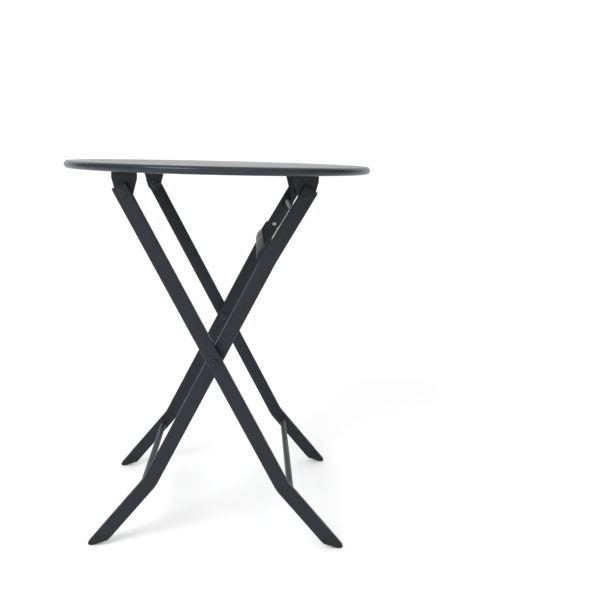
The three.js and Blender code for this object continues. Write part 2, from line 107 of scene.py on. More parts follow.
# Where the inner legs kink: the middle of the leg's own points between the crossing and the rivet.
def kinkPoint():
    mesh = frame["nodes"]["inner_leg_far"].data
    points = np.zeros(len(mesh.vertices) * 3)
    mesh.vertices.foreach_get("co", points)
    points = np.unique(points.reshape(-1, 3).round(6), axis=0)
    fromCross = points[:, 2] > cross[1] + legTube["kinkFromCross"]
    underRivet = points[:, 2] < rivet[1] - legTube["kinkUnderRivet"]
    kept = points[fromCross & underRivet]
    return np.array([kept[:, 0].mean(), kept[:, 2].mean()])


# Quads between the neighbouring points of a grid, row by row; either way may close on itself.
def gridFaces(rows, columns, closeRows=False, closeColumns=True):
    r, c = np.meshgrid(np.arange(rows if closeRows else rows - 1),
                       np.arange(columns if closeColumns else columns - 1), indexing="ij")
    r, c = r.ravel(), c.ravel()
    rNext, cNext = (r + 1) % rows, (c + 1) % columns
    return np.stack([r * columns + c, r * columns + cNext, rNext * columns + cNext, rNext * columns + c], 1)


# A surface is its points, its faces and how worn each point is. The piece stands for one node,
# rides on its body, and wears its finish as its material.
def addPiece(name, surface, body, finish, node, sharp=35):
    points, faces, worn = surface
    faces = facingOut(points, faces)
    mesh = bpy.data.meshes.new(name)
    mesh.from_pydata(points.tolist(), [], faces)
    mesh.validate()
    mesh.update()
    mesh.polygons.foreach_set("use_smooth", np.ones(len(mesh.polygons), bool))
    mesh.set_sharp_from_angle(angle=math.radians(sharp))
    mesh.attributes.new("edge", "FLOAT", "POINT").data.foreach_set("value", worn.astype(np.float32))
    piece = bpy.data.objects.new(name, mesh)
    bpy.context.scene.collection.objects.link(piece)
    mesh.materials.append(materials[finish])
    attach(piece, body)
    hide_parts(node)


# Loose blocks in one mesh, each turned so that its faces look outwards: the sum of every face's
# corner products, a sixth of which is the block's volume, must be positive.
def facingOut(points, faces):
    parent = list(range(len(points)))

    def root(k):
        while parent[k] != k:
            parent[k] = parent[parent[k]]
            k = parent[k]
        return k

    for face in faces:
        base = root(face[0])
        for corner in face[1:]:
            parent[root(corner)] = base
    volume = {}
    for face in faces:
        block = root(face[0])
        first = points[face[0]]
        for a, b in zip(face[1:-1], face[2:]):
            volume[block] = volume.get(block, 0.0) + float(np.dot(first, np.cross(points[a], points[b])))
    return [face if volume[root(face[0])] > 0 else face[::-1] for face in faces]


# Several surfaces as one: their points one after another, with the faces counted on.
def together(*surfaces):
    points, faces, edges, start = [], [], [], 0
    for surface in surfaces:
        pts, fcs, edg = surface
        points.append(pts)
        faces += [[corner + start for corner in face] for face in fcs]
        edges.append(edg)
        start += len(pts)
    return np.concatenate(points), faces, np.concatenate(edges)


# A profile turned about an axis along Y through centre: each (radius, distance) pair becomes a ring
# of (x + radius cos a, distance, z + radius sin a). A radius of zero closes the surface in one point.
def revolve(profile, centre, side=1, segments=64, edge=None):
    profile = np.asarray(profile, float)
    edge = np.zeros(len(profile)) if edge is None else np.asarray(edge, float)
    angles = np.arange(segments) * 2 * np.pi / segments
    rings = profile[:, 0] > 1e-9
    points, faces, marks, rowStart = [], [], [], []
    count = 0
    for (radius, distance), open_, mark in zip(profile, rings, edge):
        turn = angles if open_ else angles[:1]
        ring = np.stack([centre[0] + radius * np.cos(turn), np.full(len(turn), side * distance),
                         centre[1] + radius * np.sin(turn)], 1)
        points.append(ring)
        marks.append(np.full(len(turn), mark))
        rowStart.append(count)
        count += len(turn)
    for k in range(len(profile) - 1):
        a, b = rowStart[k], rowStart[k + 1]
        i = np.arange(segments)
        j = (i + 1) % segments
        if rings[k] and rings[k + 1]:
            new = np.stack([a + i, a + j, b + j, b + i], 1)
        elif rings[k + 1]:
            new = np.stack([np.full(segments, a), b + j, b + i], 1)
        else:
            new = np.stack([a + i, a + j, np.full(segments, b)], 1)
        faces += (new[:, ::-1] if side > 0 else new).tolist()
    return np.concatenate(points), faces, np.concatenate(marks)


# A rounded rectangle, anticlockwise: four quarter circles of the corner radius.
def roundedBox(width, depth, corner, steps=6):
    turn = np.linspace(0, np.pi / 2, steps + 1)
    quarters = []
    for k, (sx, sy) in enumerate([(1, 1), (-1, 1), (-1, -1), (1, -1)]):
        angle = turn + k * np.pi / 2
        quarters.append(np.stack([sx * (width / 2 - corner) + corner * np.cos(angle),
                                  sy * (depth / 2 - corner) + corner * np.sin(angle)], 1))
    return np.concatenate(quarters)


# Points and directions along a line of corners, each corner rounded by an arc of its own radius.
def roundedPath(corners, radii, step=1.0):
    points, ways = [corners[0]], [unit(corners[1] - corners[0])]
    for before, corner, after, radius in zip(corners, corners[1:], corners[2:], radii):
        come, go = unit(corner - before), unit(after - corner)
        turn = math.acos(np.clip(come @ go, -1, 1))
        across = unit(go - (come @ go) * come)
        start = corner - come * radius * math.tan(turn / 2)
        for angle in np.linspace(0, turn, max(2, int(math.degrees(turn) / step))):
            points.append(start + radius * (math.sin(angle) * come + (1 - math.cos(angle)) * across))
            ways.append(math.cos(angle) * come + math.sin(angle) * across)
    points.append(corners[-1])
    ways.append(unit(corners[-1] - corners[-2]))
    return np.array(points), np.array(ways)


# A section carried along a path in the fold plane: point + u * left + v * Y for each (u, v) of it.
def carried(section, path, ways, distance):
    left = np.stack([-ways[:, 1], ways[:, 0]], 1)
    u, v = section[:, 0], section[:, 1]
    x = path[:, :1] + left[:, :1] * u
    z = path[:, 1:] + left[:, 1:] * u
    y = np.broadcast_to(distance + v, x.shape)
    return np.stack([x, y, z], 2).reshape(-1, 3)


# How near each point of a rounded box's outline is to the middle of a corner arc, 0 to 1.
def cornerMark(count, steps=6):
    share = (np.arange(count) % (steps + 1)) / steps
    return np.sin(np.pi * share)


# A plate in the fold plane between two distances along Y, with rounded edges. Its loops are closed
# outlines, the first the outside; each ring of an edge is the loop moved inwards by r (1 - sin a),
# at a depth of r (1 - cos a). A cap's triangle runs the way of the loop where they share an edge,
# or else by the sign of its area.
def plate(loops, low, high, radius, steps=4):
    angles = np.linspace(0, np.pi / 2, steps + 1)
    inset = radius * (1 - np.sin(angles))
    depth = radius * (1 - np.cos(angles))
    insets = np.concatenate([inset, inset[::-1]])
    levels = np.concatenate([low + depth, high - depth[::-1]])
    marks = np.concatenate([np.sin(2 * angles), np.sin(2 * angles[::-1])])
    surfaces, caps = [], []
    for k, loop in enumerate(loops):
        loop = np.asarray(loop, float)
        if (signedArea(loop) > 0) == (k > 0):
            loop = loop[::-1]
        way = np.roll(loop, -1, 0) - loop
        way /= np.linalg.norm(way, axis=1, keepdims=True)
        normal = np.stack([way[:, 1], -way[:, 0]], 1)
        both = normal + np.roll(normal, 1, 0)
        mitre = both / np.maximum((both * both).sum(1, keepdims=True) / 2, 0.4)    # short at sharp corners
        rings = loop[None] - mitre[None] * insets[:, None, None]
        y = np.broadcast_to(levels[:, None], rings.shape[:2])
        points = np.stack([rings[..., 0], y, rings[..., 1]], 2).reshape(-1, 3)
        faces = gridFaces(len(insets), len(loop))[:, ::-1].tolist()
        surfaces.append((points, faces, np.repeat(marks, len(loop))))
        caps.append(rings[0])
    points, faces, edge = together(*surfaces)
    starts = np.cumsum([0] + [len(s[0]) for s in surfaces])[:-1]
    flat = [[Vector((p[0], p[1], 0)) for p in ring] for ring in caps]
    ids = np.concatenate([start + np.arange(len(ring)) for start, ring in zip(starts, caps)])
    lastIds = np.concatenate([start + (len(insets) - 1) * len(ring) + np.arange(len(ring))
                              for start, ring in zip(starts, caps)])
    follows = np.concatenate([start + np.roll(np.arange(len(ring)), -1) for start, ring in zip(starts, caps)])
    for triangle in tessellate_polygon(flat):
        corners, back, after = (row[list(triangle)] for row in (ids, lastIds, follows))
        onward, against = (after == np.roll(corners, -1)).any(), (after == np.roll(corners, 1)).any()
        front = onward or (not against and signedArea(points[corners][:, [0, 2]]) > 0)
        faces.append((corners if front else corners[::-1]).tolist())
        faces.append((back[::-1] if front else back).tolist())
    return points, faces, edge


# Half the sum of x times the next y less y times the next x: positive when anticlockwise.
def signedArea(loop):
    x, y = loop[:, 0], loop[:, 1]
    return 0.5 * float(np.sum(x * np.roll(y, -1) - y * np.roll(x, -1)))


def arc(centre, radius, start, end, steps=24):    # points on a circle, angles in degrees
    angle = np.radians(np.linspace(start, end, steps + 1))
    return np.stack([centre[0] + radius * np.cos(angle), centre[1] + radius * np.sin(angle)], 1)


def circle(centre, radius, steps=48):
    return arc(centre, radius, 0, 360, steps)[:-1]


# A polygon with its corners rounded: each arc touches both sides, r / tan(turn / 2) from the corner.
def filleted(corners, radii, steps=8):
    corners = np.asarray(corners, float)
    outline = []
    befores, afters = np.roll(corners, 1, 0), np.roll(corners, -1, 0)
    for before, corner, after, radius in zip(befores, corners, afters, radii):
        if radius == 0:
            outline.append(corner[None])
            continue
        come, go = unit(corner - before), unit(after - corner)
        turn = math.acos(np.clip(come @ go, -1, 1))
        across = unit(go - (come @ go) * come)
        angle = np.linspace(0, turn, steps + 1)[:, None]
        start = corner - come * radius * math.tan(turn / 2)
        outline.append(start + radius * (np.sin(angle) * come + (1 - np.cos(angle)) * across))
    return np.concatenate(outline)


# A round wire along a path in space: a circle in the plane square to the path at each point.
def wire(path, radius, segments=16):
    way = np.gradient(path, axis=0)
    way /= np.linalg.norm(way, axis=1, keepdims=True)
    across = np.cross(way, [0, 1, 0])
    across /= np.linalg.norm(across, axis=1, keepdims=True)
    other = np.cross(way, across)
    angle = np.arange(segments) * 2 * np.pi / segments
    points = path[:, None] + radius * (np.cos(angle)[None, :, None] * across[:, None]
                                       + np.sin(angle)[None, :, None] * other[:, None])
    faces = gridFaces(len(path), segments).tolist()
    last = (len(path) - 1) * segments
    faces.append(list(range(segments))[::-1])
    faces.append([last + k for k in range(segments)])
    return points.reshape(-1, 3), faces, np.zeros(len(path) * segments)


# An empty shader group with its named sockets, and the short writer for its nodes.
def newGroup(name, inputs, outputs):
    group = bpy.data.node_groups.new(name, "ShaderNodeTree")
    for label, kind, value in inputs:
        socket = group.interface.new_socket(name=label, in_out="INPUT", socket_type=f"NodeSocket{kind}")
        if value is not None:
            socket.default_value = value
    for label, kind in outputs:
        group.interface.new_socket(name=label, in_out="OUTPUT", socket_type=f"NodeSocket{kind}")
    tree = Nodes(group)
    tree.source = group.nodes.new("NodeGroupInput")
    tree.sink = group.nodes.new("NodeGroupOutput")
    return group, tree


# A short way to write node trees: each call makes one node, links or sets its inputs by name or
# number, and gives back the node.
class Nodes:
    def __init__(self, owner):
        self.nodes = owner.nodes
        self.links = owner.links

    def add(self, kind, inputs=None, **settings):
        node = self.nodes.new(f"ShaderNode{kind}")
        for key, value in settings.items():
            setattr(node, key, value)
        for key, value in (inputs or {}).items():
            self.feed(node.inputs[key], value)
        return node

    def feed(self, socket, value):
        if isinstance(value, bpy.types.NodeSocket):
            self.links.new(value, socket)
        else:
            socket.default_value = value

    def maths(self, operation, a, b=0.5, clamp=False):
        node = self.add("Math", {0: a, 1: b}, operation=operation, use_clamp=clamp)
        return node.outputs[0]

    def span(self, value, low, high, toLow=0.0, toHigh=1.0):
        node = self.add("MapRange", {"Value": value, "From Min": low, "From Max": high,
                                     "To Min": toLow, "To Max": toHigh})
        return node.outputs["Result"]

    def blend(self, share, a, b):
        node = self.add("Mix", {0: share, 6: a, 7: b}, data_type="RGBA")
        return node.outputs[2]

    def noise(self, place, scale, detail=2.0, roughness=0.5, stretch=None):
        if stretch is not None:
            place = self.add("Mapping", {"Vector": place, "Scale": stretch}).outputs[0]
        node = self.add("TexNoise", {"Vector": place, "Scale": scale, "Detail": detail,
                                     "Roughness": roughness})
        return node.outputs["Fac"]


# Powder coat: height = fine noise + slow waves of orange peel; tone = broad noise about one.
def powderGroup():
    group, tree = newGroup("powderCoat", [
        ("Peel Scale", "Float", 900.0), ("Wave Scale", "Float", 260.0), ("Tone Amount", "Float", 0.06),
    ], [("Height", "Float"), ("Tone", "Float")])
    place = tree.add("TexCoord").outputs["Object"]
    ins, outs = tree.source.outputs, tree.sink.inputs
    fine = tree.noise(place, ins["Peel Scale"], 3.0, 0.6)
    waves = tree.noise(place, ins["Wave Scale"], 1.0, 0.4)
    tree.feed(outs["Height"], tree.maths("ADD", tree.maths("MULTIPLY", fine, 0.5), waves))
    broad = tree.noise(place, 14.0, 3.0, 0.55)
    swing = tree.maths("MULTIPLY", tree.maths("SUBTRACT", broad, 0.5), ins["Tone Amount"])
    tree.feed(outs["Tone"], tree.maths("ADD", tree.maths("MULTIPLY", swing, 2.0), 1.0))
    return group


# Edge wear: mask = the mesh's edge value times a patchy noise, sharpened about a level.
def wearGroup():
    group, tree = newGroup("edgeWear", [
        ("Amount", "Float", 0.4), ("Patch Scale", "Float", 120.0),
    ], [("Mask", "Float")])
    place = tree.add("TexCoord").outputs["Object"]
    ins, outs = tree.source.outputs, tree.sink.inputs
    edge = tree.add("Attribute", attribute_name="edge").outputs["Fac"]
    patch = tree.noise(place, ins["Patch Scale"], 4.0, 0.65)
    near = tree.maths("MULTIPLY", edge, tree.span(patch, 0.42, 0.72))
    tree.feed(outs["Mask"], tree.maths("MULTIPLY", near, ins["Amount"], True))
    return group


# Dust: mask = how far a face looks upwards, times cloudy noise, times an amount.
def dustGroup():
    group, tree = newGroup("dust", [
        ("Amount", "Float", 0.2), ("Cloud Scale", "Float", 30.0),
    ], [("Mask", "Float")])
    place = tree.add("TexCoord").outputs["Object"]
    ins, outs = tree.source.outputs, tree.sink.inputs
    normal = tree.add("NewGeometry").outputs["Normal"]
    upwards = tree.add("SeparateXYZ", {0: normal}).outputs["Z"]
    cloud = tree.noise(place, ins["Cloud Scale"], 5.0, 0.6)
    mask = tree.maths("MULTIPLY", tree.span(upwards, 0.3, 1.0), tree.span(cloud, 0.35, 0.75))
    tree.feed(outs["Mask"], tree.maths("MULTIPLY", mask, ins["Amount"], True))
    return group


# Fine scratches and smears: mask = narrow bands of a stretched, bent noise.
def scratchGroup():
    group, tree = newGroup("scratches", [
        ("Amount", "Float", 0.15), ("Scale", "Float", 60.0),
    ], [("Mask", "Float"), ("Smear", "Float")])
    place = tree.add("TexCoord").outputs["Object"]
    ins, outs = tree.source.outputs, tree.sink.inputs
    lines = tree.noise(place, ins["Scale"], 6.0, 0.7, stretch=(1.0, 14.0, 1.0))
    other = tree.noise(place, ins["Scale"], 6.0, 0.7, stretch=(11.0, 1.0, 1.0))
    gap = tree.maths("ABSOLUTE", tree.maths("SUBTRACT", lines, other))
    tree.feed(outs["Mask"], tree.maths("MULTIPLY", tree.span(gap, 0.012, 0.0), ins["Amount"], True))
    tree.feed(outs["Smear"], tree.noise(place, 9.0, 4.0, 0.6))
    return group


groups = {"powder": powderGroup(), "wear": wearGroup(), "dust": dustGroup(), "scratch": scratchGroup()}
print("shader groups", len(groups))


# A material with a shader and nothing else.
def blank(name):
    material = bpy.data.materials.new(name)
    material.use_nodes = True
    material.node_tree.nodes.clear()
    tree = Nodes(material.node_tree)
    shader = tree.add("BsdfPrincipled")
    output = tree.add("OutputMaterial")
    tree.links.new(shader.outputs[0], output.inputs["Surface"])
    return material, tree, shader


def groupNode(tree, key, inputs):
    node = tree.add("Group", node_tree=groups[key])
    for label, value in inputs.items():
        tree.feed(node.inputs[label], value)
    return node


# A coloured coat: its colour times the tone, then worn edges and dust mixed over it; roughness from
# a base with slow swings; height from the orange peel.
def coat(name, look):
    material, tree, shader = blank(name)
    powder = groupNode(tree, "powder", {"Peel Scale": look["peelScale"], "Wave Scale": look["waveScale"],
                                        "Tone Amount": look["tone"]})
    wear = groupNode(tree, "wear", {"Amount": look["wear"], "Patch Scale": look["patchScale"]})
    dust = groupNode(tree, "dust", {"Amount": look["dust"]})
    scratch = groupNode(tree, "scratch", {"Amount": look["scratch"]})
    tinted = tree.add("VectorMath", {0: look["color"][:3], 3: powder.outputs["Tone"]}, operation="SCALE")
    base = tinted.outputs[0]
    worn = tree.blend(wear.outputs["Mask"], base, look["wornColor"])
    marked = tree.blend(scratch.outputs["Mask"], worn, look["wornColor"])
    tree.feed(shader.inputs["Base Color"], tree.blend(dust.outputs["Mask"], marked, look["dustColor"]))
    smear = tree.span(scratch.outputs["Smear"], 0.3, 0.7, look["roughLow"], look["roughHigh"])
    dusty = tree.maths("MULTIPLY", dust.outputs["Mask"], 0.4)
    tree.feed(shader.inputs["Roughness"], tree.maths("ADD", smear, dusty))
    shader.inputs["Metallic"].default_value = look["metallic"]
    shader.inputs["Specular IOR Level"].default_value = look["specular"]
    bump = tree.add("Bump", {"Height": powder.outputs["Height"], "Strength": look["bump"],
                             "Distance": look["bumpDepth"]})
    tree.feed(shader.inputs["Normal"], bump.outputs["Normal"])
    return material


# Steel with turning or drawing marks: colour and roughness swing with a noise stretched across Y.
def steel(name, look):
    material, tree, shader = blank(name)
    place = tree.add("TexCoord").outputs["Object"]
    rings = tree.noise(place, look["grainScale"], 4.0, 0.6, stretch=(1.0, 10.0, 1.0))
    spots = tree.noise(place, look["spotScale"], 3.0, 0.6)
    base = tree.blend(tree.span(rings, 0.3, 0.7), look["color"], look["lightColor"])
    dulled = tree.blend(tree.span(spots, 0.5, 0.8, 0.0, look["tarnish"]), base, look["tarnishColor"])
    wear = groupNode(tree, "wear", {"Amount": look["wear"], "Patch Scale": look["patchScale"]})
    tree.feed(shader.inputs["Base Color"], tree.blend(wear.outputs["Mask"], dulled, look["lightColor"]))
    tree.feed(shader.inputs["Roughness"], tree.span(rings, 0.3, 0.7, look["roughLow"], look["roughHigh"]))
    shader.inputs["Metallic"].default_value = look["metallic"]
    bump = tree.add("Bump", {"Height": rings, "Strength": look["bump"], "Distance": look["bumpDepth"]})
    tree.feed(shader.inputs["Normal"], bump.outputs["Normal"])
    return material


coatLook = {
    "color": (0.011, 0.014, 0.020, 1), "wornColor": (0.14, 0.145, 0.15, 1),
    "dustColor": (0.30, 0.29, 0.27, 1), "peelScale": 1500.0, "waveScale": 420.0, "tone": 0.06, "wear": 0.25,
    "patchScale": 140.0, "dust": 0.03, "scratch": 0.05, "roughLow": 0.36, "roughHigh": 0.46,
    "metallic": 0.0, "specular": 0.24, "bump": 0.35, "bumpDepth": 0.00012,
}
looks = {
    "topCoat": {**coatLook, "color": (0.018, 0.023, 0.031, 1), "roughLow": 0.24, "roughHigh": 0.32,
                "dust": 0.02, "specular": 0.28, "bump": 0.16, "scratch": 0.02},
    "legCoat": coatLook,
    "paintedHead": {**coatLook, "wear": 0.1, "peelScale": 1900.0},
    "boltCoat": {**coatLook, "color": (0.006, 0.007, 0.009, 1), "roughLow": 0.14, "roughHigh": 0.20,
                 "specular": 0.32, "wear": 0.04, "bump": 0.1},
    "bracketCoat": {**coatLook, "color": (0.019, 0.020, 0.026, 1), "roughLow": 0.42, "roughHigh": 0.52},
    # The grip's coat is the bracket coat again, less specular and with a darker colour that is painted shade.
    "gripCoat": {**coatLook, "color": (0.016, 0.016, 0.018, 1), "roughLow": 0.44, "roughHigh": 0.54,
                 "specular": 0.15},
    "blackPlastic": {**coatLook, "color": (0.012, 0.013, 0.014, 1), "wornColor": (0.06, 0.06, 0.06, 1),
                     "roughLow": 0.50, "roughHigh": 0.62, "peelScale": 2600.0, "bump": 0.5, "dust": 0.05},
}
steelLook = {"spotScale": 220.0, "patchScale": 200.0, "bump": 0.1, "bumpDepth": 0.0001}
metals = {
    "darkSteel": {**steelLook, "color": (0.030, 0.033, 0.038, 1), "lightColor": (0.07, 0.07, 0.075, 1),
                  "tarnish": 0.5, "tarnishColor": (0.03, 0.03, 0.03, 1), "roughLow": 0.30,
                  "roughHigh": 0.45, "metallic": 0.7, "grainScale": 500.0, "wear": 0.5},
    "brightSteel": {**steelLook, "color": (0.26, 0.265, 0.27, 1), "lightColor": (0.42, 0.42, 0.43, 1),
                    "tarnish": 0.35, "tarnishColor": (0.30, 0.30, 0.30, 1), "roughLow": 0.22,
                    "roughHigh": 0.36, "metallic": 1.0, "grainScale": 700.0, "wear": 0.3},
}
materials = {name: coat(name, look) for name, look in looks.items()}
materials.update({name: steel(name, look) for name, look in metals.items()})
print("materials", len(materials))


topSheet = {"thickness": 1.5 * mm, "beadDiameter": 14 * mm, "rollEnd": -200, "segments": 240,
            "beadSteps": 44, "rings": 13}


# Out along the upper face, round the bead and back inside it: a line, an arc of the bead's radius,
# an arc one sheet less, and the underside back to the middle.
def addTop():
    bead = topSheet["beadDiameter"] / 2
    centre = (topRadius - bead, topHigh - bead)
    steps, count = topSheet["beadSteps"], topSheet["rings"]
    outside = arc(centre, bead, 90, topSheet["rollEnd"], steps)
    inside = arc(centre, bead - topSheet["thickness"], topSheet["rollEnd"], 90, steps)
    rings = np.linspace(0, centre[0], count + 1)[:-1]
    upper = np.stack([rings, np.full(count, topHigh)], 1)
    lower = np.stack([rings[::-1], np.full(count, topHigh - topSheet["thickness"])], 1)
    profile = np.concatenate([upper, outside, inside, lower])
    points, faces, worn = revolve(profile, (0, 0), 1, topSheet["segments"])
    addPiece("top_sheet", (points[:, [0, 2, 1]], faces, worn), "tabletop", "topCoat", "table_top", sharp=50)


addTop()
print("table top")


legTube = {"width": 27.5 * mm, "corner": 2.6 * mm, "bendRadius": 70 * mm, "kinkRadius": 160 * mm,
           "overPivot": 17 * mm, "endRound": 0.5 * mm, "firstLean": 40, "leanSteps": 30,
           "kinkFromCross": 50 * mm, "kinkUnderRivet": 12 * mm}
plug = {"head": 2.5 * mm, "smaller": 0.4 * mm, "round": 0.9 * mm, "gap": 0.25 * mm,
        "stubSmaller": 4 * mm, "stubCorner": 2 * mm, "stubBelow": 6 * mm}
foot = {"inset": 0.5 * mm, "flat": 5 * mm, "rise": 18, "tipRadius": 4 * mm, "flatRadius": 3 * mm,
        "heelRadius": 2.5 * mm, "round": 1.6 * mm, "stubAbove": 18 * mm, "stubBelow": 2 * mm}
crossbar = {"weldLeg": 2.6 * mm, "ripples": 22, "rippleDepth": 0.22 * mm}
wornEnd = {"corner": 0.35, "end": 0.8, "rows": 3}


# The section shrinks over the last points of a path, so that the tube's end has a rounded edge:
# inset r (1 - sin a) at a distance of r (1 - cos a) from the end.
def roundEnd(box, point, way, outwards, radius, steps=4):
    width, depth, corner = box
    angles = np.linspace(0, np.pi / 2, steps + 1)[1:]
    rows = []
    for angle in angles:
        inset = radius * (1 - math.cos(angle))
        section = roundedBox(width - 2 * inset, depth - 2 * inset, max(corner - inset, 0.0002))
        rows.append((section, point + outwards * way * radius * math.sin(angle)))
    return rows


# A closed block with a rounded-box section along a path in the fold plane, both its ends rounded.
def sweptBox(width, depth, corner, path, ways, distance, radius):
    section = roundedBox(width, depth, corner)
    rows = []
    starts = roundEnd((width, depth, corner), path[0] + ways[0] * radius, ways[0], -1, radius)[::-1]
    ends = roundEnd((width, depth, corner), path[-1] - ways[-1] * radius, ways[-1], 1, radius)
    body = [(section, point, way) for point, way in zip(path, ways)]
    body[0] = (section, path[0] + ways[0] * radius, ways[0])
    body[-1] = (section, path[-1] - ways[-1] * radius, ways[-1])
    stations = [(s, p, ways[0]) for s, p in starts] + body + [(s, p, ways[-1]) for s, p in ends]
    for shape, point, way in stations:
        rows.append(carried(shape, point[None], way[None], distance))
    points = np.concatenate(rows)
    count = len(section)
    faces = gridFaces(len(stations), count).tolist()
    last = (len(stations) - 1) * count
    faces.append(list(range(count))[::-1])
    faces.append([last + k for k in range(count)])
    mark = np.tile(cornerMark(count) * wornEnd["corner"], len(stations))
    ring = count * wornEnd["rows"]
    mark[:ring] = np.maximum(mark[:ring], wornEnd["end"])
    mark[-ring:] = np.maximum(mark[-ring:], wornEnd["end"])
    return points, faces, mark


# A block narrower than the tube, straight between two points of its line.
def straightBlock(start, end, smaller, corner, depth, distance):
    way = unit(end - start)
    return sweptBox(legTube["width"] - smaller, depth - smaller, corner, np.array([start, end]),
                    np.array([way, way]), distance, plug["round"])


# The shoe seen from the side: down the leg's outer edge to the floor, along a flat, then up a rise
# to the leg's inner edge. The tip's arc touches the edge and the floor, r / tan(turn / 2) from their
# crossing.
def footOutline(leg, half, toward):
    down, end = leg["down"], leg["end"]
    out = np.array([-toward * abs(down[1]), abs(down[0])])
    outerTop, innerTop = end + out * half, end - out * half
    shin = outerTop + down * (-outerTop[1] / down[1])
    toeAngle = math.atan2(abs(down[1]), abs(down[0]))
    reach = foot["tipRadius"] / math.tan(toeAngle / 2)
    flatEnd = shin + np.array([toward, 0.0]) * (reach + foot["flat"])
    rise = math.radians(foot["rise"])
    sole = np.array([toward * math.cos(rise), math.sin(rise)])
    heel = meet(flatEnd, sole, innerTop, down)
    return filleted([outerTop, shin, flatEnd, heel, innerTop],
                    [0, foot["tipRadius"], foot["flatRadius"], foot["heelRadius"], 0])


# A tube down the rounded line of corners, a cap on a stub in its upper end, and a shoe on a stub in
# its lower end.
def addLeg(name, leg, place):
    low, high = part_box(f"{name}_leg_{place}")
    depth = high.y - low.y
    distance = (high.y + low.y) / 2
    body = f"{name}_frame"
    up, down, start = leg["up"], leg["down"], leg["corners"][0]
    corners = [start - up * (plug["head"] + plug["gap"])] + leg["corners"][1:]
    radii = [legTube["kinkRadius"], legTube["bendRadius"]][-(len(corners) - 2):]
    path, ways = roundedPath(corners, radii)
    tube = sweptBox(legTube["width"], depth, legTube["corner"], path, ways, distance, legTube["endRound"])
    addPiece(f"{name}_tube_{place}", tube, body, "legCoat", f"{name}_leg_{place}")
    tall, neck = up * plug["head"], start - up * plug["stubBelow"]
    head = straightBlock(start, start - tall, plug["smaller"], legTube["corner"], depth, distance)
    stub = straightBlock(neck, neck - tall, plug["stubSmaller"], plug["stubCorner"], depth, distance)
    addPiece(f"{name}_cap_{place}", together(head, stub), body, "blackPlastic", f"{name}_plug_{place}")
    outline = footOutline(leg, legTube["width"] / 2 - foot["inset"], -np.sign(down[0]))
    inset = foot["inset"]
    sole = plate([outline], distance - depth / 2 + inset, distance + depth / 2 - inset, foot["round"])
    shank = straightBlock(leg["end"] - down * foot["stubAbove"], leg["end"] + down * foot["stubBelow"],
                          plug["stubSmaller"], plug["stubCorner"], depth, distance)
    addPiece(f"{name}_shoe_{place}", together(sole, shank), body, "blackPlastic", f"{name}_foot_{place}")


legs = {"outer": legCorners("outer", hinge), "inner": legCorners("inner", support, kinkPoint())}
for name, leg in legs.items():
    for place in sides:
        addLeg(name, leg, place)


# A bar between the legs. Its welded ends flare by the weld's leg along a quarter circle, and the
# flare's radius swings with sin(n a) for the ripples of the weld.
def addCrossbar(name):
    low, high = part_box(f"{name}_crossbar")
    centre = planePoint(middle(f"{name}_crossbar"))
    radius = (high.x - low.x) / 2
    reach = high.y
    weld = crossbar["weldLeg"]
    turn = np.linspace(0, np.pi / 2, 7)
    flare = np.stack([radius + weld * (1 - np.cos(turn)), reach - weld * (1 - np.sin(turn))], 1)
    profile = np.concatenate([[[0, -reach]], flare[::-1] * [1, -1], flare, [[0, reach]]])
    points, faces, worn = revolve(profile, centre, 1, 96)
    out = points[:, [0, 2]] - centre
    far = np.linalg.norm(out, axis=1)
    grown = np.clip((far - radius) / weld, 0, 1)
    angle = np.arctan2(out[:, 1], out[:, 0])
    swell = crossbar["rippleDepth"] * grown * np.sin(crossbar["ripples"] * angle)
    points[:, [0, 2]] += out / np.maximum(far, 1e-6)[:, None] * swell[:, None]
    addPiece(f"{name}_bar", (points, faces, worn), f"{name}_frame", "legCoat", f"{name}_crossbar", sharp=60)


for name in legs:
    addCrossbar(name)
print("frames")


pivot = {"headRim": 0.35, "headRound": 0.25 * mm, "shank": 4 * mm, "chamfer": 0.5 * mm, "hole": 4.1 * mm,
         "hingeHead": {"height": 3 * mm, "rise": 1.4 * mm}, "crossHead": {"height": 3 * mm, "rise": 3 * mm},
         "supportHead": {"height": 2 * mm, "rise": 1.2 * mm}, "washerRound": 0.4 * mm,
         "nutAcross": 13 * mm, "nutChamfer": 0.9 * mm, "chamferSlope": 0.55}


def spanY(node):    # how far a node reaches from the table's middle along Y: (near, far)
    low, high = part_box(node)
    return sorted([abs(low.y), abs(high.y)])


def widthOf(node):
    low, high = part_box(node)
    return high.x - low.x


# A pin with a domed head: the head's rim stands straight for a share of its height, then the dome
# falls as a quarter ellipse. The shank starts with a small chamfer.
def domedPin(node, centre, side, head, body, finish):
    start, end = spanY(node)
    radius = widthOf(node) / 2
    seat = end - head["height"]
    shank, chamfer, soft = pivot["shank"], pivot["chamfer"], pivot["headRound"]
    turn = np.linspace(0, np.pi / 2, 13)
    fall = head["rise"] * (1 - pivot["headRim"]) * (1 - np.sin(turn))
    dome = np.stack([radius * np.cos(turn), seat + head["rise"] - fall], 1)
    profile = np.concatenate([
        [[0, start], [shank - chamfer, start], [shank, start + chamfer], [shank, seat],
         [radius - soft, seat], [radius, seat + soft]], dome])
    mark = np.concatenate([np.zeros(4), [0.6, 1], np.linspace(0.7, 0, len(turn))])
    addPiece(f"{node}_round", revolve(profile, centre, side, 56, mark), body, finish, node, sharp=40)


# A ring with rounded edges about an axis along Y.
def addRing(node, centre, side, body):
    start, end = spanY(node)
    radius = widthOf(node) / 2
    soft, hole = pivot["washerRound"], pivot["hole"]
    turn = np.linspace(0, np.pi / 2, 5)
    upper = np.stack([radius - soft * (1 - np.cos(turn)), end - soft * (1 - np.sin(turn))], 1)
    lower = np.stack([upper[::-1, 0], start + end - upper[::-1, 1]], 1)
    profile = np.concatenate([[[hole, start]], lower, upper, [[hole, end], [hole, start]]])
    addPiece(f"{node}_round", revolve(profile, centre, side, 64), body, "blackPlastic", node)


